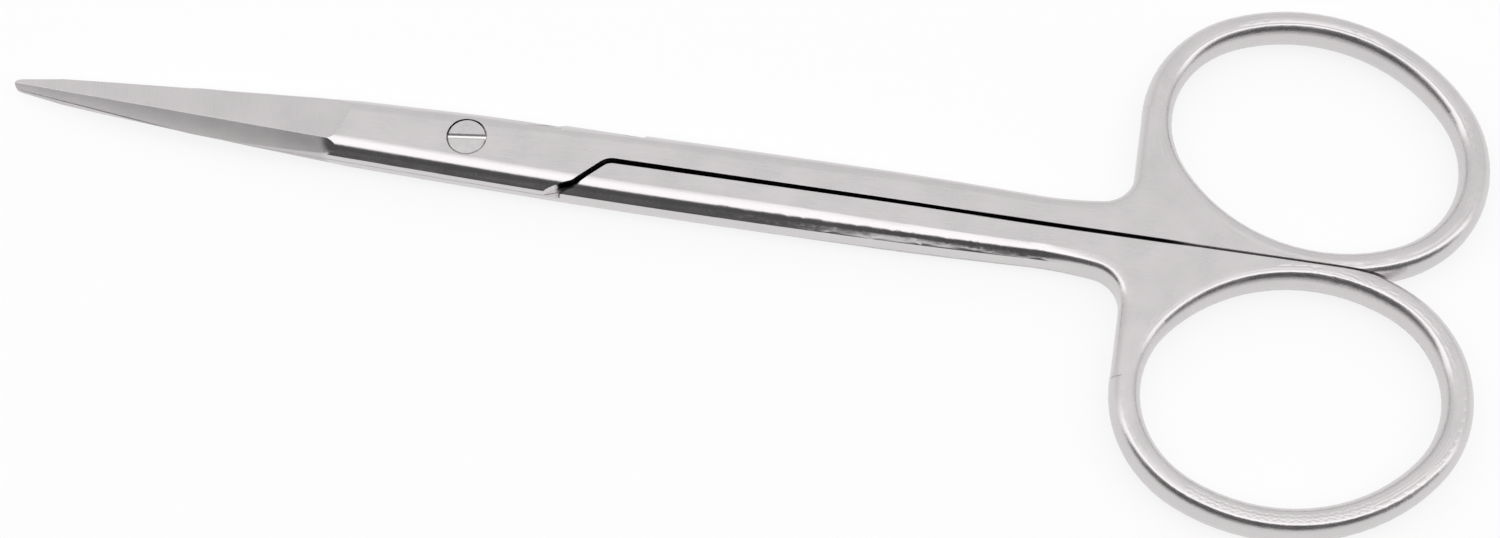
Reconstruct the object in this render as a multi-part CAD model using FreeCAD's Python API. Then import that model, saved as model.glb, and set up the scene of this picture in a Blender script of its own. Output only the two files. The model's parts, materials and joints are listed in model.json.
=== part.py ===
import FreeCAD, Part
import math
import os
from FreeCAD import Vector

# Fine dressing scissors with a half-lap joint, closed, in millimetres.
# x runs from the tips to the rings, y towards the thumb ring, z upwards.
# The pivot axis is x = y = 0 and the underside is z = 0.

# Stock
THICKNESS = 3.6
WEB_THICKNESS = 3.2
THINNING_START_X = 32.0
THINNING_END_X = 46.0
SHANK_ROUNDING = 1.4
WAIST_ROUNDING = 1.2
WEB_ROUNDING = 1.0
PARTING_Y = -0.28

# Half the body's width on each side of the parting line
TIP_X = -36.1
TIP_WIDTH = 0.45
TIP_WIDTH_X = -35.2
POINT_WIDTH = 1.49
POINT_WIDTH_X = -28.0
BLADE_WIDTH = 2.12
BLADE_WIDTH_X = -20.0
HEEL_WIDTH = 2.33
HEEL_X = -16.0
LAP_WIDTH = 2.78
LAP_WIDTH_X = 0.0
BELLY_WIDTH = 3.05
BELLY_WIDTH_X = 20.0
WAIST_WIDTH = 2.7
WAIST_WIDTH_X = 44.0
FLARE_WIDTH = 3.5
FLARE_INSET = 0.5852

# Finger rings: a rod of oval section bent round an oval hole
RING_X = 64.95
RING_Y = 10.65
HOLE_LONG = 22.66
HOLE_SHORT = 18.05
RING_TURN = -13.9
ROD_WIDTH = 2.36
ROD_HEIGHT = 3.24
WEB_INSET = 0.05
NECK_RADIUS = 2.6

# Joint
LAP_CLEARANCE = 0.04
SHANK_GAP = 0.45
RING_GAP = 0.1
SHOULDER_X = 11.1
SHOULDER_KNEE_X = 8.8
SHOULDER_KNEE_Y = -2.3
SHOULDER_TAIL_X = 6.0
SHOULDER_TAIL_Y = -3.35
SHOULDER_RADIUS = 1.3

# Blade facets, heights above the inner face
PLUNGE_X = -11.3
RIDGE_Y = -1.45
RIDGE_HEIGHT = 1.68
RIDGE_END_X = -34.0
RIDGE_END_Y = -0.08
RIDGE_END_HEIGHT = 0.5
LAND_X = -20.0
LAND_HEIGHT = 1.0
SPINE_FOOT_HEIGHT = 0.1
PLUNGE_RADIUS = 8.0
BEVEL_START_X = -9.4
BEVEL_START_Y = 2.9
BEVEL_END_X = -35.2
BEVEL_END_Y = 0.92
BEVEL_ANGLE = 60.0
BEVEL_RUNOUT_RADIUS = 8.0

# Pivot screw
HEAD_DIAMETER = 3.0
HEAD_HEIGHT = 0.75
HEAD_RECESS = 0.04
HEAD_CLEARANCE = 0.06
SHANK_DIAMETER = 2.0
SHANK_CLEARANCE = 0.03
SEAT_CLEARANCE = 0.02
SLOT_WIDTH = 0.4
SLOT_DEPTH = 0.35
SLOT_TURN = 7.0
HEAD_CHAMFER = 0.1
TAIL_RECESS = 0.03
TAIL_CHAMFER = 0.15

HALF = THICKNESS / 2
WEB_HALF = WEB_THICKNESS / 2
FAR = 200.0
TOLERANCE = 0.01


def block(x0, x1, y0, y1, z0, z1):
    return Part.makeBox(x1 - x0, y1 - y0, z1 - z0, Vector(x0, y0, z0))


def prism(wire, z0, z1):
    face = Part.Face(wire)
    face.translate(Vector(0, 0, z0))
    return face.extrude(Vector(0, 0, z1 - z0))


def tangent_arcs(point, tangent, targets):
    """Arcs that run on smoothly through each target, and the direction in which they end."""
    edges = []
    for target in targets:
        chord = target - point
        length = chord.Length
        run = chord.dot(tangent) / length
        bulge = (tangent - chord * (run / length)) * (length / 2 / (1 + run))
        edges.append(Part.Arc(point, (point + target) / 2 + bulge, target).toShape())
        tangent = chord * (2 * run / length) - tangent
        point = target
    return edges, tangent


def closed_prism(edges, z0, z1):
    return prism(Part.Wire(Part.sortEdges(edges)[0]), z0, z1)


def ring_point(x, y):
    """A point given along and across the ring, from its centre."""
    point = Vector(x, y, 0)
    turn = math.radians(RING_TURN)
    along = Vector(math.cos(turn), math.sin(turn), 0)
    across = Vector(-along.y, along.x, 0)
    return Vector(RING_X, RING_Y, 0) + along * point.x + across * point.y


def oval_arcs():
    """The rod's centre line: end, side, end and side arc, each (centre, start, degrees)."""
    long_half = (HOLE_LONG + ROD_WIDTH) / 2
    short_half = (HOLE_SHORT + ROD_WIDTH) / 2
    chord = math.hypot(long_half, short_half)
    small = chord * (chord - long_half + short_half) / (2 * long_half)
    large = chord * (chord + long_half - short_half) / (2 * short_half)
    end_x = long_half - small
    side_y = large - short_half
    half_angle = math.atan2(side_y, end_x)
    reach = large * math.cos(half_angle)
    join_y = large * math.sin(half_angle) - side_y
    end_degrees = math.degrees(half_angle) * 2
    side_degrees = 180 - end_degrees
    return [
        (ring_point(end_x, 0), ring_point(reach, -join_y), end_degrees),
        (ring_point(0, -side_y), ring_point(reach, join_y), side_degrees),
        (ring_point(-end_x, 0), ring_point(-reach, join_y), end_degrees),
        (ring_point(0, side_y), ring_point(-reach, -join_y), side_degrees),
    ]


def web_edge():
    """Where the web between shank and ring ends towards the joint."""
    centre, start, degrees = oval_arcs()[2]
    return centre.x - (start - centre).Length - ROD_WIDTH / 2 + WEB_INSET


def body_sides(side):
    """The outline on one side: arcs from the heel to the ring, and the blade's curve."""
    belly = Vector(BELLY_WIDTH_X, side * BELLY_WIDTH, 0)
    lap = Vector(LAP_WIDTH_X, side * LAP_WIDTH, 0)
    heel = Vector(HEEL_X, side * HEEL_WIDTH, 0)
    waist = Vector(WAIST_WIDTH_X, side * WAIST_WIDTH, 0)
    flare = Vector(web_edge() + FLARE_INSET, side * FLARE_WIDTH, 0)
    front, heel_direction = tangent_arcs(belly, Vector(-1, 0, 0), [lap, heel])
    rear = tangent_arcs(belly, Vector(1, 0, 0), [waist, flare])[0]
    blade = Part.BSplineCurve()
    blade.interpolate(
        Points=[
            heel,
            Vector(BLADE_WIDTH_X, side * BLADE_WIDTH, 0),
            Vector(POINT_WIDTH_X, side * POINT_WIDTH, 0),
            Vector(TIP_WIDTH_X, side * TIP_WIDTH, 0),
            Vector(TIP_X, 0, 0),
        ],
        InitialTangent=heel_direction,
        FinalTangent=Vector(0, -side, 0),
        Scale=False,
    )
    return front + rear, [blade.toShape()], heel, flare


def body_prisms():
    """The haft up to the ring, and the blade, each the full thickness."""
    haft_upper, blade_upper, heel_upper, flare_upper = body_sides(1)
    haft_lower, blade_lower, heel_lower, flare_lower = body_sides(-1)
    heel = [Part.makeLine(heel_upper, heel_lower)]
    ends = [flare_upper, Vector(RING_X, FLARE_WIDTH, 0), Vector(RING_X, -FLARE_WIDTH, 0)]
    rear = Part.makePolygon(ends + [flare_lower]).Edges
    haft = closed_prism(haft_upper + heel + haft_lower + rear, -HALF, HALF)
    return haft, closed_prism(blade_upper + heel + blade_lower, -HALF, HALF)


def ring_rod():
    pieces = []
    for centre, start, degrees in oval_arcs():
        outward = (start - centre).normalize() * (ROD_WIDTH / 2)
        crest = Vector(0, 0, ROD_HEIGHT / 2)
        section = Part.Ellipse(start + crest, start + outward, start)
        face = Part.Face(Part.Wire(section.toShape()))
        pieces.append(face.revolve(centre, Vector(0, 0, 1), degrees))
    return pieces[0].fuse(pieces[1:]).removeSplitter()


def ring_inside():
    """The stock inside the rod's centre line."""
    edges = []
    for centre, start, degrees in oval_arcs():
        arm = start - centre
        angle = math.atan2(arm.y, arm.x)
        circle = Part.Circle(centre, Vector(0, 0, 1), arm.Length)
        edges.append(circle.toShape(angle, angle + math.radians(degrees)))
    return closed_prism(edges, -HALF, HALF)


def side_profile():
    start = THINNING_START_X
    end = THINNING_END_X
    left = TIP_X
    right = RING_X + HOLE_LONG

    def thinning(side):
        curve = Part.BSplineCurve()
        curve.interpolate(
            Points=[Vector(start, 0, side * HALF), Vector(end, 0, side * WEB_HALF)],
            InitialTangent=Vector(1, 0, 0),
            FinalTangent=Vector(1, 0, 0),
        )
        return curve.toShape()

    corners = [
        Vector(end, 0, WEB_HALF),
        Vector(right, 0, WEB_HALF),
        Vector(right, 0, -WEB_HALF),
        Vector(end, 0, -WEB_HALF),
    ]
    tail = [
        Vector(start, 0, -HALF),
        Vector(left, 0, -HALF),
        Vector(left, 0, HALF),
        Vector(start, 0, HALF),
    ]
    edges = [thinning(1), thinning(-1)]
    edges += Part.makePolygon(corners).Edges
    edges += Part.makePolygon(tail).Edges
    face = Part.Face(Part.Wire(Part.sortEdges(edges)[0]))
    face.translate(Vector(0, -FAR / 2, 0))
    return face.extrude(Vector(0, FAR, 0))


def lies_across(edge, places):
    box = edge.BoundBox
    return box.XLength < TOLERANCE and any(abs(box.XMin - x) < TOLERANCE for x in places)


def eased_rounding(plate, rims):
    """Rims rounded so that the shank's radius eases to the web's through the waist's.

    Where two rims meet, the later one in the list gives the radius.
    """
    document = FreeCAD.newDocument()
    base = document.addObject("Part::Feature", "Plate")
    base.Shape = plate
    rounded = document.addObject("Part::Fillet", "Rounded")
    rounded.Base = base
    waist = []
    others = []
    for number, edge in enumerate(plate.Edges, 1):
        if not any(edge.isSame(rim) for rim in rims):
            continue
        x = edge.CenterOfMass.x
        if BELLY_WIDTH_X < x < WAIST_WIDTH_X:
            waist.append((number, WAIST_ROUNDING, WAIST_ROUNDING))
        elif x < BELLY_WIDTH_X:
            others.append((number, SHANK_ROUNDING, SHANK_ROUNDING))
        else:
            others.append((number, WEB_ROUNDING, WEB_ROUNDING))
    rounded.Edges = waist + others
    document.recompute()
    return rounded.Shape.copy()


def rounded_haft(body):
    """The shank and web with their rims rounded, and the ring's rod round the opened hole."""
    left = web_edge()
    side_y = oval_arcs()[2][0].y
    web = block(left, RING_X, 0, side_y, -HALF, HALF)
    plate = body.fuse(web).removeSplitter()
    corners = [
        edge
        for edge in plate.Edges
        if lies_across(edge, [left])
        and 0 < edge.CenterOfMass.y < side_y - TOLERANCE
        and edge.BoundBox.ZLength > THICKNESS - TOLERANCE
    ]
    plate = plate.makeFillet(NECK_RADIUS, corners).common(side_profile())
    crossings = [HEEL_X, THINNING_START_X, THINNING_END_X, RING_X]
    rims = [
        edge
        for edge in plate.Edges
        if abs(edge.CenterOfMass.z) > WEB_HALF - TOLERANCE
        and not lies_across(edge, crossings)
        and edge.CenterOfMass.y < side_y - TOLERANCE
    ]
    plate = eased_rounding(plate, rims)
    return plate.cut(ring_inside()).fuse(ring_rod())


def offset_path(points, distance):
    lines = []
    for (x0, y0), (x1, y1) in zip(points, points[1:]):
        length = math.hypot(x1 - x0, y1 - y0)
        nx = -(y1 - y0) / length
        ny = (x1 - x0) / length
        lines.append((nx, ny, nx * x0 + ny * y0 + distance))
    corners = []
    for (ax, ay, ac), (bx, by, bc) in zip(lines, lines[1:]):
        det = ax * by - ay * bx
        corners.append(((ac * by - ay * bc) / det, (ax * bc - ac * bx) / det))
    first = points[0][0] + lines[0][0] * distance, points[0][1] + lines[0][1] * distance
    return [first] + corners


def rounded_corner(before, corner, after, radius):
    back = (Vector(*before, 0) - Vector(*corner, 0)).normalize()
    ahead = (Vector(*after, 0) - Vector(*corner, 0)).normalize()
    half_angle = back.getAngle(ahead) / 2
    reach = radius / math.tan(half_angle)
    middle = (back + ahead).normalize()
    point = Vector(*corner, 0)
    peak = point + middle * (radius / math.sin(half_angle) - radius)
    return point + back * reach, peak, point + ahead * reach


def shoulder_region(distance, z0, z1):
    """The stock beyond the shoulder on the lower side of the parting line, grown by a distance."""
    path = [
        (SHOULDER_TAIL_X, SHOULDER_TAIL_Y),
        (SHOULDER_KNEE_X, SHOULDER_KNEE_Y),
        (SHOULDER_X, 0.0),
        (RING_X + HOLE_LONG, 0.0),
    ]
    start, knee, top = offset_path(path, distance)
    slope = (SHANK_GAP - RING_GAP) / SHANK_GAP
    end = (RING_X + HOLE_LONG, distance * (1 - slope))
    knee_arc = rounded_corner(start, knee, top, SHOULDER_RADIUS - distance)
    top_arc = rounded_corner(knee, top, end, SHOULDER_RADIUS + distance)
    below = -HOLE_LONG * 2
    points = [Vector(*start, 0), knee_arc[0]]
    edges = [Part.makeLine(*points), Part.Arc(*knee_arc).toShape()]
    edges += [Part.makeLine(knee_arc[2], top_arc[0]), Part.Arc(*top_arc).toShape()]
    rest = [top_arc[2], Vector(*end, 0), Vector(end[0], below, 0)]
    rest += [Vector(start[0], below, 0), Vector(*start, 0)]
    edges += Part.makePolygon(rest).Edges
    return closed_prism(edges, z0, z1)


def half_turn(shape):
    turned = shape.copy()
    turned.rotate(Vector(0, 0, 0), Vector(1, 0, 0), 180)
    return turned


def plane_cutter(origin, along, across, end_radius):
    """A cutter that clears everything above a plane, its near end rounded like a grinding wheel."""
    along = Vector(along).normalize()
    normal = along.cross(across).normalize()
    if normal.z < 0:
        normal = normal * -1
    side = normal.cross(along)
    shoulder = end_radius * (1 - math.sqrt(0.5))
    arc_end = origin - along * end_radius + normal * end_radius
    arc_middle = origin - along * (end_radius - shoulder) + normal * shoulder
    edges = [Part.Arc(origin, arc_middle, arc_end).toShape()]
    height = normal * HOLE_LONG
    reach = along * RING_X
    rest = [arc_end, arc_end + height, origin + reach + height, origin + reach, origin]
    edges += Part.makePolygon(rest).Edges
    face = Part.Face(Part.Wire(Part.sortEdges(edges)[0]))
    face.translate(side * -HOLE_LONG)
    return face.extrude(side * HOLE_LONG * 2)


def blade_cutters():
    ridge_start = Vector(PLUNGE_X, RIDGE_Y, RIDGE_HEIGHT)
    ridge_end = Vector(RIDGE_END_X, RIDGE_END_Y, RIDGE_END_HEIGHT)
    ridge = ridge_end - ridge_start
    land = Vector(LAND_X, BLADE_WIDTH, LAND_HEIGHT) - ridge_start
    foot = Vector(BLADE_WIDTH_X, -BLADE_WIDTH, SPINE_FOOT_HEIGHT) - ridge_start
    edge_start = Vector(BEVEL_START_X, BEVEL_START_Y, LAP_CLEARANCE / 2)
    edge = Vector(BEVEL_END_X, BEVEL_END_Y, LAP_CLEARANCE / 2) - edge_start
    inward = edge.cross(Vector(0, 0, -1)).normalize()
    if inward.y > 0:
        inward = inward * -1
    rise = inward + Vector(0, 0, math.tan(math.radians(BEVEL_ANGLE)))
    face = plane_cutter(ridge_start, ridge, land, PLUNGE_RADIUS)
    spine = plane_cutter(ridge_start, ridge, foot, PLUNGE_RADIUS)
    bevel = plane_cutter(edge_start, edge, rise, BEVEL_RUNOUT_RADIUS)
    return [face, spine, bevel]


def forged_half():
    """The thumb half before drilling, parting line on the x axis and the lap plane at z = 0."""
    haft, blade = body_prisms()
    blank = rounded_haft(haft).fuse(blade)
    lap = LAP_CLEARANCE / 2
    clearance = SHANK_GAP / 2
    upper = blank.common(block(-FAR, FAR, -FAR, FAR, lap, FAR))
    upper = upper.cut(shoulder_region(clearance, -HALF, THICKNESS))
    upper = upper.cut(blade_cutters())
    lower = blank.common(half_turn(shoulder_region(-clearance, -lap, THICKNESS)))
    return upper.fuse(lower).removeSplitter().Solids[0]


def rod(diameter, z0, z1):
    return Part.makeCylinder(diameter / 2, z1 - z0, Vector(0, 0, z0))


def pivot_screw():
    top = THICKNESS - HEAD_RECESS
    seat = top - HEAD_HEIGHT
    head = rod(HEAD_DIAMETER, seat, top)
    shank = rod(SHANK_DIAMETER, TAIL_RECESS, top)
    screw = head.fuse(shank).removeSplitter()
    rims = [edge for edge in screw.Edges if abs(edge.CenterOfMass.z - top) < TOLERANCE]
    screw = screw.makeChamfer(HEAD_CHAMFER, rims)
    tail = [edge for edge in screw.Edges if abs(edge.CenterOfMass.z - TAIL_RECESS) < TOLERANCE]
    screw = screw.makeChamfer(TAIL_CHAMFER, tail)
    long_half = HEAD_DIAMETER
    slot = block(-long_half, long_half, -SLOT_WIDTH / 2, SLOT_WIDTH / 2, top - SLOT_DEPTH, THICKNESS)
    slot.rotate(Vector(0, 0, 0), Vector(0, 0, 1), SLOT_TURN)
    return screw.cut(slot)


def main():
    os.makedirs("parts", exist_ok=True)
    place = Vector(0, PARTING_Y, HALF)
    thumb_half = forged_half()
    finger_half = half_turn(thumb_half)
    thumb_half.translate(place)
    finger_half.translate(place)
    floor = THICKNESS - HEAD_RECESS - HEAD_HEIGHT - SEAT_CLEARANCE
    thumb_half = thumb_half.cut(
        [
            rod(SHANK_DIAMETER + 2 * SHANK_CLEARANCE, 0, THICKNESS * 2),
            rod(HEAD_DIAMETER + 2 * HEAD_CLEARANCE, floor, THICKNESS * 2),
        ]
    )
    finger_half = finger_half.cut(rod(SHANK_DIAMETER, -THICKNESS, THICKNESS))
    nodes = {
        "thumb_half": thumb_half.Solids[0],
        "finger_half": finger_half.Solids[0],
        "pivot_screw": pivot_screw(),
    }
    for name, shape in nodes.items():
        shape.exportStep("parts/" + name + ".step")
        box = shape.optimalBoundingBox()
        print(name, shape.isValid(), len(shape.Solids), round(shape.Volume, 2))
        print(round(box.XMin, 2), round(box.XMax, 2), round(box.YMin, 2), round(box.YMax, 2))


main()
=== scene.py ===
# %% [markdown]
# # Dressing scissors in satin steel
#
# A pair of fine scissors is two forgings and a screw. The two halves come in from the CAD
# frame with their true shapes. This lesson gives them their finish, makes the slotted screw
# anew with its thread, and sets the light and the photograph's point of view.

# %% Load the frame
import json
import math

import bpy
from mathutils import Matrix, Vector

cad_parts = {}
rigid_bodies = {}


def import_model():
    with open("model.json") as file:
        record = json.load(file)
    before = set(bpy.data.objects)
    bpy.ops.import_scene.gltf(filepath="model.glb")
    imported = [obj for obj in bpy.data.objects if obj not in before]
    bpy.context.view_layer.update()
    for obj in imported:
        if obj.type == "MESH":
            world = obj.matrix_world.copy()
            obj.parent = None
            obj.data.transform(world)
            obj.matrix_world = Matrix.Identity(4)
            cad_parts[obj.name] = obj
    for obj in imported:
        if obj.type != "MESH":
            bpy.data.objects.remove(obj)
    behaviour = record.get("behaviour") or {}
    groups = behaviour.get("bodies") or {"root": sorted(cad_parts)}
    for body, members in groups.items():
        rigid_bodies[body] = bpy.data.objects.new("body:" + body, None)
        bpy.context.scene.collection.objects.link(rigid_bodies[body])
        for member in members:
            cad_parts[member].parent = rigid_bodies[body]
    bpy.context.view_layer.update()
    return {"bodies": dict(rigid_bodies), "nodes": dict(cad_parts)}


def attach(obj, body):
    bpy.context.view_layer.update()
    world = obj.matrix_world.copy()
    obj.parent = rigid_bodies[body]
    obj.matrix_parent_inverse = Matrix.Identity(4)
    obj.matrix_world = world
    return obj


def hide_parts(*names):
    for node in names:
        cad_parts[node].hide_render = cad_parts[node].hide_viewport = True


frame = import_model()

MM = 0.001

for body, empty in frame["bodies"].items():
    nodes = [name for name, node in frame["nodes"].items() if node.parent == empty]
    print("body", body, "carries", ", ".join(nodes))

# %% [markdown]
# ## The camera
#
# The photograph looks down steeply from the side of the lower ring, from about a quarter of a
# metre away. From so near, the rings look a little larger against the tips than they are, and
# a long lens fits the scissors into the frame. The camera is placed by the two angles under
# which it sees the scissors, its distance, and the point that lies in the middle of the picture.

# %% Place the camera
VIEW_ELEVATION = math.radians(65.19)
VIEW_AZIMUTH = math.radians(9.09)
VIEW_DISTANCE = 244.3 * MM
VIEW_TARGET = Vector((23.26, -6.87, 1.8)) * MM
LENS = 76.8
NEAREST_SEEN = VIEW_DISTANCE / 100

view_back = Vector(
    (
        math.sin(VIEW_AZIMUTH) * math.cos(VIEW_ELEVATION),
        -math.cos(VIEW_AZIMUTH) * math.cos(VIEW_ELEVATION),
        math.sin(VIEW_ELEVATION),
    )
)
camera = bpy.data.objects.new("camera", bpy.data.cameras.new("camera"))
bpy.context.scene.collection.objects.link(camera)
camera.data.lens = LENS
camera.data.clip_start = NEAREST_SEEN
camera.location = VIEW_TARGET + view_back * VIEW_DISTANCE
camera.rotation_euler = view_back.to_track_quat("Z", "Y").to_euler()
bpy.context.scene.camera = camera
print("camera at", [round(c / MM) for c in camera.location], "mm")

# %% [markdown]
# ## Sums of nodes as plain expressions
#
# A ground surface is a sum of a few patterns, and a screw is a cylinder with a few sums on its
# points. Wiring each sum by hand hides it, so a small class wraps one output of a node tree.
# Plus, minus, times and over add their Math nodes, and every other node comes from one method.
# The same class serves the materials, the world and the tree that makes the screw.

# %% A socket that can be reckoned with
def set_stops(ramp, stops):
    """A new ramp has two stops, so the missing ones are added first."""
    while len(ramp) < len(stops):
        ramp.new(1.0)
    for element, (position, colour) in zip(ramp, stops):
        element.position = position
        element.color = colour


class Shade:
    """One output of a node tree. Expressions on it add nodes to the tree."""

    def __init__(self, tree, socket=None):
        self.tree = tree
        self.socket = socket

    def node(self, kind, settings=None, inputs=None, output=0):
        """Adds a node, sets its settings, then the values or links of its sockets."""
        made = self.tree.nodes.new(kind)
        for name, value in (settings or {}).items():
            if name == "stops":
                set_stops(made.color_ramp.elements, value)
            else:
                setattr(made, name, value)
        for name, value in (inputs or {}).items():
            self.feed(made.inputs[name], value)
        return Shade(self.tree, made.outputs[output] if made.outputs else None)

    def feed(self, socket, value):
        """Links a socket to one output or to a list of them, or sets its value."""
        if isinstance(value, Shade):
            self.tree.links.new(value.socket, socket)
        elif isinstance(value, list):
            for each in value:
                self.feed(socket, each)
        else:
            socket.default_value = value

    def math(self, operation, *values):
        return self.node("ShaderNodeMath", {"operation": operation}, dict(enumerate(values)))

    def vector(self, x, y, z):
        return self.node("ShaderNodeCombineXYZ", inputs={"X": x, "Y": y, "Z": z})

    def parts(self):
        """The X, Y and Z of a vector."""
        split = self.node("ShaderNodeSeparateXYZ", inputs={"Vector": self})
        return [Shade(self.tree, socket) for socket in split.socket.node.outputs]

    def __add__(self, other):
        return self.math("ADD", self, other)

    def __sub__(self, other):
        return self.math("SUBTRACT", self, other)

    def __rsub__(self, other):
        return self.math("SUBTRACT", other, self)

    def __mul__(self, other):
        return self.math("MULTIPLY", self, other)

    def __truediv__(self, other):
        return self.math("DIVIDE", self, other)

    def __neg__(self):
        return self.math("MULTIPLY", self, -1)

    def __abs__(self):
        return self.math("ABSOLUTE", self)

    __radd__ = __add__
    __rmul__ = __mul__


def step_up(value, start, end):
    """Rises smoothly from 0 to 1 as the value goes from start to end."""
    settings = {"interpolation_type": "SMOOTHSTEP"}
    values = {"Value": value, "From Min": start, "From Max": end}
    return value.node("ShaderNodeMapRange", settings, values)


def choose(mask, first, second):
    """The first value where the mask is 0 and the second where it is 1."""
    return mask * (second - first) + first


def grey(level):
    return (level, level, level, 1)


print("node sums are ready")

# %% [markdown]
# ## The light
#
# Polished steel has hardly a colour of its own: what the eye sees is the room. In the
# photograph the flat tops are an even light grey, the near roundings carry a white stripe over a
# dark one, and the lowest part of each edge is light again. Read as reflections, that is
# a broad softbox overhead, the unlit room behind the camera, and the white table. So the
# world is painted by the angle round the scissors' length, from the camera's side over
# the top to the far side. The unlit part lies only behind the camera. It stops short of the
# table and of both ends, so that the room is pale from nearly everywhere else.

# %% Light the scissors
ROOM_LIGHT = 0.10
SOFTBOX_LIGHT = 1.6
FAR_LIGHT = 0.86
ROOM_START = 4
SOFTBOX_START = 52
SOFTBOX_END = 104
BLEND = 4
ROOM_SIDES = (0.8, 0.97)


def light_round(angle, room_light):
    """The light by its angle, as a share of half a turn, with the room's own level given."""
    levels = [
        (ROOM_START, FAR_LIGHT),
        (ROOM_START + BLEND, room_light),
        (SOFTBOX_START - BLEND, room_light),
        (SOFTBOX_START + BLEND, SOFTBOX_LIGHT),
        (SOFTBOX_END - BLEND, SOFTBOX_LIGHT),
        (SOFTBOX_END + BLEND, FAR_LIGHT),
        (180, FAR_LIGHT),
    ]
    stops = [(degrees / 180, grey(level)) for degrees, level in levels]
    colour = angle.node("ShaderNodeValToRGB", {"stops": stops}, {"Fac": angle})
    return angle.node("ShaderNodeBackground", inputs={"Color": colour})


world = bpy.data.worlds.new("studio")
bpy.context.scene.world = world
world.use_nodes = True
world.node_tree.nodes.clear()
sky = Shade(world.node_tree)
sky_x, sky_y, sky_z = sky.node("ShaderNodeTexCoord", output="Generated").parts()
upwards = sky.math("ARCTAN2", sky_z, -sky_y) * (1 / math.pi)
sideways = sky.math("ARCTAN2", abs(sky_x), -sky_y) * (2 / math.pi)
lights = {
    0: step_up(sideways, *ROOM_SIDES),
    1: light_round(upwards, ROOM_LIGHT),
    2: light_round(upwards, FAR_LIGHT),
}
around = sky.node("ShaderNodeMixShader", inputs=lights)
sky.node("ShaderNodeOutputWorld", inputs={"Surface": around})
bpy.context.scene.view_settings.view_transform = "Standard"
print("softbox from", SOFTBOX_START, "to", SOFTBOX_END, "degrees round the scissors")

# %% [markdown]
# The table is a white sheet a hair below the scissors, so that their flat underside doesn't
# fight with it for the same place. Seen directly or in the steel, it is mixed with plain
# white, which lifts it to white and leaves a softer shadow in it.

# %% Lay the white sheet
SHEET_SIZE = 4.0
SHEET_DEPTH = 0.02 * MM
SHEET_COLOUR = 0.9
SHEET_WHITE = 0.8


def new_material(name):
    material = bpy.data.materials.new(name)
    material.use_nodes = True
    material.node_tree.nodes.clear()
    return material, Shade(material.node_tree)


def flat_sheet(name, size, height):
    half = size / 2
    mesh = bpy.data.meshes.new(name)
    corners = [(-half, -half), (half, -half), (half, half), (-half, half)]
    mesh.from_pydata([(x, y, height) for x, y in corners], [], [(0, 1, 2, 3)])
    sheet = bpy.data.objects.new(name, mesh)
    bpy.context.scene.collection.objects.link(sheet)
    return sheet


sheet = flat_sheet("white_sheet", SHEET_SIZE, -SHEET_DEPTH)
paper, shade = new_material("white_paper")
matt = shade.node("ShaderNodeBsdfDiffuse", inputs={"Color": grey(SHEET_COLOUR)})
white = shade.node("ShaderNodeEmission", inputs={"Color": grey(1)})
seen = shade.node("ShaderNodeLightPath", output="Is Camera Ray")
for ray in ("Is Glossy Ray", "Is Transmission Ray"):
    seen = shade.math("MAXIMUM", seen, shade.node("ShaderNodeLightPath", output=ray))
lifted = shade.node("ShaderNodeMixShader", inputs={0: seen * SHEET_WHITE, 1: matt, 2: white})
shade.node("ShaderNodeOutputMaterial", inputs={"Surface": lifted})
sheet.data.materials.append(paper)
print("sheet", SHEET_SIZE, "m across,", SHEET_DEPTH / MM, "mm below the scissors")

# %% [markdown]
# ## Satin steel
#
# Surgical scissors are ground on belts and then brushed to a satin, so that they don't dazzle
# under a theatre lamp. Four strokes can be told apart. The shanks are brushed along their
# length and their flanks up and down, the rings round their ovals, and the blades are ground
# across, from the back to the edge. Each stroke is one noise, squeezed across the stroke and
# stretched along it, and masks by place choose between them. The strokes tilt the surface a
# little through a bump and vary its roughness. A broad, faint cloud stands for the uneven
# pressure of the hand.

# %% Grain helpers
STROKE_WIDTH = 0.07
STROKE_LENGTH = 1.2
STROKE_DETAIL = 3.0
STROKE_ROUGHNESS = 0.6
CLOUD_SIZE = 3.0
CLOUD_DETAIL = 3.0
TONE_SPREAD = (0.3, 0.7)


def millimetres(shade):
    """The place on the piece in millimetres."""
    place = shade.node("ShaderNodeTexCoord", output="Object")
    return shade.node("ShaderNodeVectorMath", {"operation": "SCALE"}, {0: place, "Scale": 1 / MM})


def strokes(along, across, height, seed):
    """A noise drawn out along the stroke. Its inputs are millimetres."""
    scaled = across.vector(
        along * (1 / STROKE_LENGTH) + seed,
        across * (1 / STROKE_WIDTH),
        height * (1 / STROKE_WIDTH),
    )
    values = {"Vector": scaled, "Scale": 1.0, "Detail": STROKE_DETAIL, "Roughness": STROKE_ROUGHNESS}
    return scaled.node("ShaderNodeTexNoise", {"noise_dimensions": "3D"}, values)


def cloud(place, size):
    values = {"Vector": place, "Scale": 1 / size, "Detail": CLOUD_DETAIL}
    return place.node("ShaderNodeTexNoise", inputs=values)


def mixed_colour(mask, first, second):
    """The Mix node keeps its colours in sockets 6 and 7 and gives the third output."""
    inputs = {0: mask, 6: first, 7: second}
    return mask.node("ShaderNodeMix", {"data_type": "RGBA"}, inputs, output=2)


def toned(grain, hand, dark, light):
    """A colour that the strokes and the hand's cloud move between two."""
    return mixed_colour(step_up((grain + hand) * 0.5, *TONE_SPREAD), dark, light)


print("stroke", STROKE_WIDTH, "mm wide and", STROKE_LENGTH, "mm long")

# %% [markdown]
# The finish differs from place to place. Belts leave the flat tops satin, and the mop polishes
# the roundings more, so they mirror the softbox and the dark room. The steep facet along a
# blade's back is left rough and a little hollow from the wheel. The crest of a ring is
# dressed nearly flat, which draws its highlight to a thin line, and the flanks of the shanks
# keep the draft of the forging die. These last three are small tilts of the surface, so they
# go into the bump as a height that depends on the distance from the middle plane.

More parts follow.
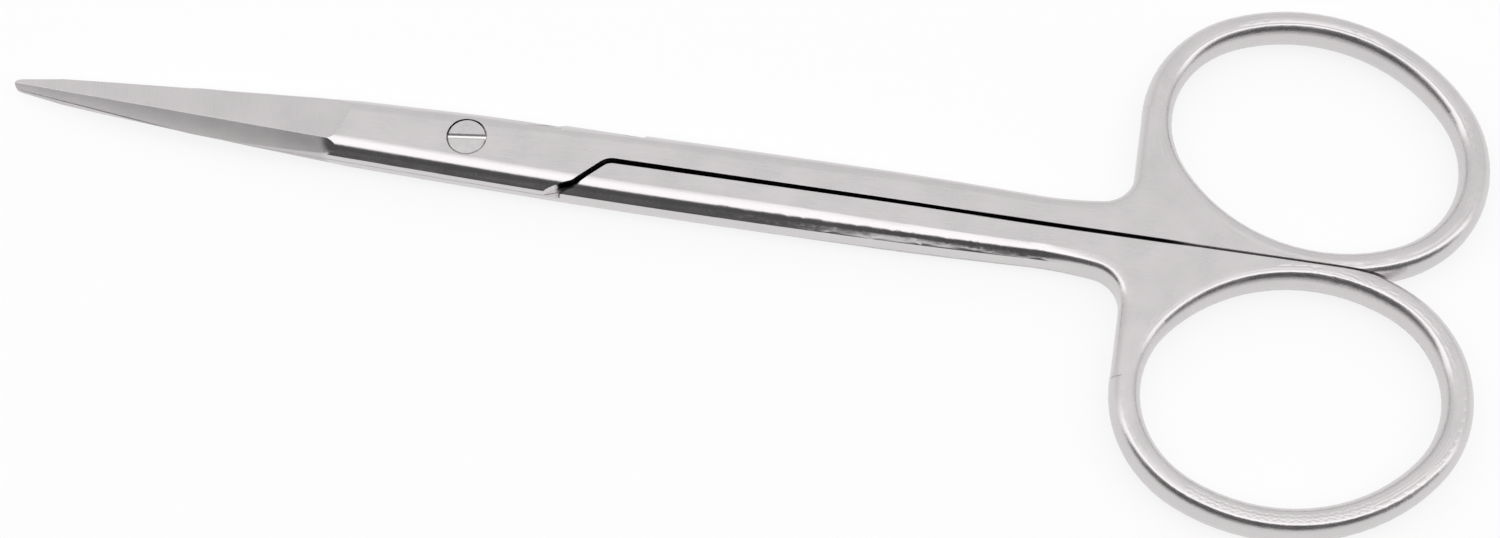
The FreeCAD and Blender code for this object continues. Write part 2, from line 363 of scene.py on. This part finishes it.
# %% Where each finish lies
MIDDLE = 1.8
CREST = 1.47
CREST_BLEND = 0.05
CREST_DRESSING = 0.8
FLANK_TOP = 1.3
FLANK_HEIGHT = 0.62
FLANK_DRAFT = 0.46
FACET_TOP = 1.3
FACET_HOLLOW = 0.09


def lowest(first, second):
    return first.math("MINIMUM", first, second)


def highest(first, second):
    return first.math("MAXIMUM", first, second)


def dressed_height(from_middle, on_ring, on_blade):
    """Millimetres by which crest, flank and the blade's back stand off the solid."""
    crest = from_middle.math("SMOOTH_MAX", from_middle - CREST, 0.0, CREST_BLEND)
    flank = lowest(highest(FLANK_TOP - from_middle, 0), FLANK_HEIGHT)
    shank = choose(on_ring, flank * flank * FLANK_DRAFT, crest * -CREST_DRESSING)
    below_ridge = highest(FACET_TOP - from_middle, 0)
    return choose(on_blade, shank, below_ridge * below_ridge * FACET_HOLLOW)


print("crest dressed from", CREST, "mm off the middle, flanks from", FLANK_TOP, "mm")

# %% [markdown]
# Behind the joint each half ends in a shoulder. The slanted gap between the shoulders, and the
# long one between the shanks, lie in deep shade, and in the photograph they are black. Their
# walls get painted shade: a near-black colour stands in for the shadow in the gap. The gap
# follows a bent line: the parting line itself and, below it, the higher of two slants. It
# narrows towards the rings. Under the middle plane it is mirrored, because the lower half is
# the upper one turned over.

# %% Painted shade in the gap at the shoulder
PARTING_Y = -0.28
SHOULDER_X = 11.1
KNEE = (8.8, -2.3)
TAIL_SLOPE = 0.375
HALF_GAP = 0.225
GAP_TAPER = 0.0026
GAP_LENGTH = (7.3, 7.9, 54.0, 57.0)
GAP_RIM = (1.62, 1.74)
RAMP = (8.6, 9.2, 10.8, 11.4)
RAMP_STRETCH = 1.42
# How far the painted shade reaches past each wall, and the width over which it fades out.
SHADE_EDGE_MARGIN = 0.04


def between(value, places):
    """Rises from 0 to 1 at the first two places and falls again at the last two."""
    return step_up(value, places[0], places[1]) * step_up(value, places[3], places[2])


def painted_gap_shade(x, y, z):
    """1 on the walls of the shoulder's gap, where shade is painted, 0 elsewhere."""
    above = z - MIDDLE
    across = (y - PARTING_Y) * above.math("SIGN", above)
    tail = (x - KNEE[0]) * TAIL_SLOPE + KNEE[1]
    line = lowest(highest(x - SHOULDER_X, tail), 0)
    beside = abs(across - line)
    half_gap = HALF_GAP - highest(x - SHOULDER_X, 0) * GAP_TAPER
    reach = half_gap * choose(between(x, RAMP), 1, RAMP_STRETCH) + SHADE_EDGE_MARGIN
    inside = step_up(beside - reach, SHADE_EDGE_MARGIN, 0)
    below_rim = step_up(abs(above), GAP_RIM[1], GAP_RIM[0])
    return inside * below_rim * between(x, GAP_LENGTH)


print("painted_shade from x =", GAP_LENGTH[0], "to", GAP_LENGTH[-1], "mm")

# %% [markdown]
# Both finishes of steel, the satin one and the turned one, end in the same nodes. A Bevel node
# breaks each sharp edge by less than a tenth of a millimetre, as the mop does, so that the
# edges catch a line of light. The bump adds the strokes to that, and the steel is a plain metal.

# %% A steel surface
BEVEL_SAMPLES = 4
ROUGHNESS_SPREAD = 0.14


def steel_surface(shade, colour, roughness, height, broken_edge):
    """Ends a steel material. The height is in millimetres."""
    edges = shade.node("ShaderNodeBevel", {"samples": BEVEL_SAMPLES}, {"Radius": broken_edge})
    bumped = {"Height": height * MM, "Distance": 1.0, "Strength": 1.0, "Normal": edges}
    bump = shade.node("ShaderNodeBump", inputs=bumped)
    values = {"Base Color": colour, "Metallic": 1.0, "Roughness": roughness, "Normal": bump}
    steel = shade.node("ShaderNodeBsdfPrincipled", inputs=values)
    shade.node("ShaderNodeOutputMaterial", inputs={"Surface": steel})


print("each edge is smoothed with", BEVEL_SAMPLES, "samples")

# %% [markdown]
# The rings' stroke follows the oval, so it needs the distance from the ring's centre and the
# length round it. The web between shank and ring is brushed along the shank, and the two
# strokes meet about where the hole begins. On the blades the stroke runs across and on down
# the facet, at the slant of the plunge in which the ground part begins.

# %% The strokes on a half
PLUNGE_X = -11.3
PLUNGE_SLANT = 0.22
PLUNGE_BLEND = 0.5
RING_X = 64.95
RING_Y = {"thumb_half": 10.37, "finger_half": -10.93}
ROD_REACH = 8.6
RING_STROKE = (15.1, 11.1)
FLANK_CLIMB = 3.0
FACET_CLIMB = 2.0
HEIGHT_SHARE = 0.1


def ground_blade(x, y):
    """1 on the ground blade, 0 behind its plunge."""
    plunge = x + y * PLUNGE_SLANT
    return step_up(plunge, PLUNGE_X + PLUNGE_BLEND, PLUNGE_X - PLUNGE_BLEND)


def satin_grain(node, x, y, z, steep):
    """The strokes of one half: along the shank, up the flank, round the ring, over the blade."""
    ring_x = x - RING_X
    ring_y = y - RING_Y[node]
    radius = x.math("SQRT", ring_x * ring_x + ring_y * ring_y)
    round_ring = x.math("ARCTAN2", ring_y, ring_x) * ROD_REACH
    over_blade = y - x * PLUNGE_SLANT + z * FACET_CLIMB
    shank_grain = strokes(x, y, z, seed=0.0)
    ring_grain = strokes(round_ring, radius, z, seed=7.0)
    blade_grain = strokes(over_blade, x + y * PLUNGE_SLANT, z * HEIGHT_SHARE, seed=13.0)
    flank_grain = strokes((y + z) * FLANK_CLIMB, x, z * HEIGHT_SHARE, seed=19.0)
    shank = choose(steep, shank_grain, flank_grain)
    brushed = choose(step_up(radius, *RING_STROKE), shank, ring_grain)
    return choose(ground_blade(x, y), brushed, blade_grain)


print("the ring's stroke takes over from", RING_STROKE[0], "to", RING_STROKE[1], "mm off its centre")

# %% [markdown]
# Each half gets its own material, because the centre of its ring differs. Where a surface is
# steep, the mop has polished it or the wheel has left it rough, and the direction in which it
# faces tells the steep from the flat.

# %% The satin finish of the halves
RING_START_X = (44.0, 50.0)
STEEP = (0.97, 0.85)
STEEL_COLOUR = (0.672, 0.645, 0.65, 1)
STEEL_SHADE = (0.62, 0.598, 0.603, 1)
# Painted shade: the near-black colour that stands in for the shadow in the shoulder's gap.
GAP_SHADE_COLOUR = (0.035, 0.033, 0.032, 1)
TOP_ROUGHNESS = 0.30
MOPPED_ROUGHNESS = 0.17
RING_ROUGHNESS = 0.27
FACET_ROUGHNESS = 0.5
GRAIN_RELIEF = 0.005
FACET_RELIEF = 0.012
BROKEN_EDGE = 0.07 * MM


def satin_steel(node):
    material, shade = new_material("satin_steel_" + node)
    place = millimetres(shade)
    x, y, z = place.parts()
    normal_z = shade.node("ShaderNodeTexCoord", output="Normal").parts()[2]
    steep = step_up(abs(normal_z), *STEEP)
    in_rings = step_up(x, *RING_START_X)
    on_blade = ground_blade(x, y)
    grain = satin_grain(node, x, y, z, steep)
    hand = cloud(place, CLOUD_SIZE)

    mopped = choose(steep, TOP_ROUGHNESS, choose(in_rings, MOPPED_ROUGHNESS, RING_ROUGHNESS))
    ground = choose(steep, TOP_ROUGHNESS, FACET_ROUGHNESS)
    roughness = choose(on_blade, mopped, ground) + (grain + hand - 1) * ROUGHNESS_SPREAD
    steel_colour = toned(grain, hand, STEEL_SHADE, STEEL_COLOUR)
    # Painted shade darkens the walls of the shoulder's gap.
    colour = mixed_colour(painted_gap_shade(x, y, z), steel_colour, GAP_SHADE_COLOUR)
    relief = choose(on_blade * steep, GRAIN_RELIEF, FACET_RELIEF)
    height = dressed_height(abs(z - MIDDLE), in_rings, on_blade) + grain * relief
    steel_surface(shade, colour, roughness, height, BROKEN_EDGE)
    return material


for node in RING_Y:
    frame["nodes"][node].data.materials[0] = satin_steel(node)
    print(node, "is satin steel, ring centre", (RING_X, RING_Y[node]), "mm")

# %% [markdown]
# ## The pivot screw
#
# The screw holds the halves together just firmly enough to stay where they are put. Its head
# lies in a flat-bottomed seat of the upper half, its neck is the plain journal on which that
# half turns, and its thread grips the lower half. A screw follows rules, so Geometry
# Nodes make it: the thread is a wave that climbs round the shank, and the slot is
# cut out of the head as the slitting saw cuts it, with a slightly hollow floor.

# %% The screw's sizes
SCREW = {
    "Head Radius": 1.5,
    "Head Height": 0.75,
    "Head Top": 3.56,
    "Dome": 0.03,
    "Head Edge": 0.09,
    "Shank Radius": 1.0,
    "Shank Bottom": 0.03,
    "Thread Top": 1.75,
    "Thread Pitch": 0.35,
    "Thread Depth": 0.1,
    "Tail Edge": 0.15,
    "Slot Width": 0.46,
    "Slot Depth": 0.36,
    "Slot Hollow": 0.1,
    "Slot Turn": 7.0,
}
print("head", 2 * SCREW["Head Radius"], "mm across, thread pitch", SCREW["Thread Pitch"], "mm")

# %% [markdown]
# The tree works in millimetres, as the CAD does, and a last Transform brings the
# screw to metres. Head and shank are cylinders with extra rings, whose points are then
# moved: the head's top is drawn in for its edge and domed, the shank's rings go in and out with
# the thread and taper at the tail.

# %% Turn the head and the shank
HEAD_FACETS = 96
HEAD_RINGS = 8
SHANK_FACETS = 72
RINGS_PER_TURN = 10
HAIR = 0.001


def cylinder(nodes, radius, depth, facets, rings, cap_rings):
    inputs = {"Vertices": facets, "Side Segments": rings, "Fill Segments": cap_rings}
    inputs.update({"Radius": radius, "Depth": depth})
    return nodes.node("GeometryNodeMeshCylinder", {"fill_type": "TRIANGLE_FAN"}, inputs)


def points(nodes):
    return nodes.node("GeometryNodeInputPosition").parts()


def moved(mesh, position):
    return mesh.node("GeometryNodeSetPosition", inputs={"Geometry": mesh, "Position": position})


def domed_head(nodes, size):
    radius = size["Head Radius"]
    height = size["Head Height"]
    x, y, z = points(nodes)
    top = nodes.math("GREATER_THAN", z, height * 0.5 - HAIR)
    drawn_in = 1 - top * size["Head Edge"] / radius
    dome = top * size["Dome"] * (1 - (x * x + y * y) / (radius * radius))
    lift = size["Head Top"] - height * 0.5
    mesh = cylinder(nodes, radius, height, HEAD_FACETS, HEAD_RINGS, HEAD_RINGS)
    return moved(mesh, nodes.vector(x * drawn_in, y * drawn_in, z + dome + lift))


def threaded_shank(nodes, size):
    radius = size["Shank Radius"]
    length = size["Head Top"] - size["Head Height"] * 0.5 - size["Shank Bottom"]
    x, y, z = points(nodes)
    above_tail = z + length * 0.5
    world_z = above_tail + size["Shank Bottom"]
    turn = nodes.math("ARCTAN2", y, x) * (0.5 / math.pi)
    wave = nodes.math("PINGPONG", world_z / size["Thread Pitch"] - turn, 0.5) * 2
    threaded = step_up(world_z, size["Thread Top"], size["Thread Top"] - size["Thread Pitch"])
    groove = radius - wave * size["Thread Depth"] * threaded
    tail = radius - size["Tail Edge"] + above_tail
    shrink = lowest(groove, tail) / radius
    rings = nodes.math("ROUND", length / size["Thread Pitch"] * RINGS_PER_TURN)
    mesh = cylinder(nodes, radius, length, SHANK_FACETS, rings, 1)
    return moved(mesh, nodes.vector(x * shrink, y * shrink, world_z))


print("head of", HEAD_FACETS, "facets, thread of", RINGS_PER_TURN, "rings a turn")

# %% [markdown]
# The slot is a bar taken out of the head. The bar stands on a flattened roll, which hollows the
# slot's floor and is a hair narrower than the bar, so that their sides don't coincide. Edges
# sharper than a set angle stay crisp, and all others are shaded smooth.

# %% Cut the slot and finish the tree
BAR_HEIGHT = 1.0
ROLL_FACETS = 48
SHARP_ANGLE = 25.0


def united(first, second):
    settings = {"operation": "UNION", "solver": "EXACT"}
    return first.node("GeometryNodeMeshBoolean", settings, {"Mesh 2": [first, second]})


def cut_out(blank, cutter):
    settings = {"operation": "DIFFERENCE", "solver": "EXACT"}
    return blank.node("GeometryNodeMeshBoolean", settings, {"Mesh 1": blank, "Mesh 2": cutter})


def transformed(mesh, **change):
    """The mesh after a Translation, a Rotation or a Scale."""
    return mesh.node("GeometryNodeTransform", inputs={"Geometry": mesh, **change})


def slot_cutter(nodes, size):
    """A bar as wide as the slot, over a flat roll that hollows the floor."""
    reach = size["Head Radius"] * 3
    floor = size["Head Top"] - size["Slot Depth"] + size["Slot Hollow"]
    width = size["Slot Width"]
    block_size = nodes.vector(reach, width, BAR_HEIGHT)
    block = nodes.node("GeometryNodeMeshCube", inputs={"Size": block_size})
    bar = transformed(block, Translation=nodes.vector(0, 0, floor + BAR_HEIGHT / 2))
    upright = cylinder(nodes, width * 0.5 - HAIR, reach, ROLL_FACETS, 1, 1)
    roll = transformed(upright, Rotation=(0, math.pi / 2, 0))
    x, y, z = points(nodes)
    flat = size["Slot Hollow"] / (width * 0.5)
    hollow = moved(roll, nodes.vector(x, y, z * flat + floor))
    turn = size["Slot Turn"] * math.radians(1)
    return transformed(united(bar, hollow), Rotation=nodes.vector(0, 0, turn))


def crisp_edges(mesh):
    faces = {"Geometry": mesh, "Shade Smooth": True}
    smooth = mesh.node("GeometryNodeSetShadeSmooth", {"domain": "FACE"}, faces)
    angle = mesh.node("GeometryNodeInputMeshEdgeAngle") * (180 / math.pi)
    is_sharp = mesh.math("GREATER_THAN", angle, SHARP_ANGLE)
    edges = {"Geometry": smooth, "Selection": is_sharp, "Shade Smooth": False}
    return mesh.node("GeometryNodeSetShadeSmooth", {"domain": "EDGE"}, edges)


def screw_tree():
    tree = bpy.data.node_groups.new("slotted_screw", "GeometryNodeTree")
    face = tree.interface
    face.new_socket("Geometry", in_out="OUTPUT", socket_type="NodeSocketGeometry")
    for name in SCREW:
        face.new_socket(name, in_out="INPUT", socket_type="NodeSocketFloat")
    face.new_socket("Finish", in_out="INPUT", socket_type="NodeSocketMaterial")
    nodes = Shade(tree)
    given = nodes.node("NodeGroupInput").socket.node.outputs
    size = {name: Shade(tree, given[name]) for name in SCREW}
    blank = united(domed_head(nodes, size), threaded_shank(nodes, size))
    slotted = cut_out(blank, slot_cutter(nodes, size))
    metres = transformed(crisp_edges(slotted), Scale=(MM, MM, MM))
    real = nodes.node("GeometryNodeRealizeInstances", inputs={"Geometry": metres})
    finish = {"Geometry": real, "Material": Shade(tree, given["Finish"])}
    done = nodes.node("GeometryNodeSetMaterial", inputs=finish)
    nodes.node("NodeGroupOutput", inputs={"Geometry": done})
    return tree


print("the screw takes", len(SCREW), "sizes")

# %% [markdown]
# The screw comes off a lathe, so its finish runs in fine circles round the axis. They are a
# noise that reads the distance from the axis and the height, never the way round, and a small
# cloud stains them a little.

# %% The turned finish of the screw
TURNED_WIDTH = 0.035
TURNED_RELIEF = 0.0012
STAIN_SIZE = 0.6
SCREW_COLOUR = (0.71, 0.69, 0.69, 1)
SCREW_SHADE = (0.62, 0.60, 0.605, 1)
SCREW_ROUGHNESS = 0.22
SCREW_BROKEN_EDGE = 0.042 * MM


def turned_steel():
    material, shade = new_material("screw_steel")
    place = millimetres(shade)
    x, y, z = place.parts()
    radius = shade.math("SQRT", x * x + y * y)
    circles = strokes(z, radius * (STROKE_WIDTH / TURNED_WIDTH), z, seed=31.0)
    colour = toned(circles, cloud(place, STAIN_SIZE), SCREW_SHADE, SCREW_COLOUR)
    roughness = SCREW_ROUGHNESS + (circles - 0.5) * ROUGHNESS_SPREAD
    steel_surface(shade, colour, roughness, circles * TURNED_RELIEF, SCREW_BROKEN_EDGE)
    return material


print("turned in circles", TURNED_WIDTH, "mm wide")

# %% [markdown]
# A tree runs as a modifier on a bench object. The screw then rides the lower half, in which
# it is fixed, and takes the place of the plain one from the CAD.

# %% Make the screw
def made_piece(name, tree, values):
    """Runs a tree on an empty mesh and keeps what it makes as a plain mesh."""
    bench = bpy.data.objects.new(name + "_bench", bpy.data.meshes.new(name))
    bpy.context.scene.collection.objects.link(bench)
    modifier = bench.modifiers.new("tree", "NODES")
    modifier.node_group = tree
    for item in tree.interface.items_tree:
        if item.in_out == "INPUT":
            modifier[item.identifier] = values[item.name]
    graph = bpy.context.evaluated_depsgraph_get()
    mesh = bpy.data.meshes.new_from_object(bench.evaluated_get(graph))
    bpy.data.objects.remove(bench)
    piece = bpy.data.objects.new(name, mesh)
    bpy.context.scene.collection.objects.link(piece)
    return piece


screw = made_piece("slotted_screw", screw_tree(), {**SCREW, "Finish": turned_steel()})
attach(screw, "finger_half")
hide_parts("pivot_screw")
screw_size = [round(d / MM, 2) for d in screw.dimensions]
print("screw of", len(screw.data.polygons), "faces,", screw_size, "mm")
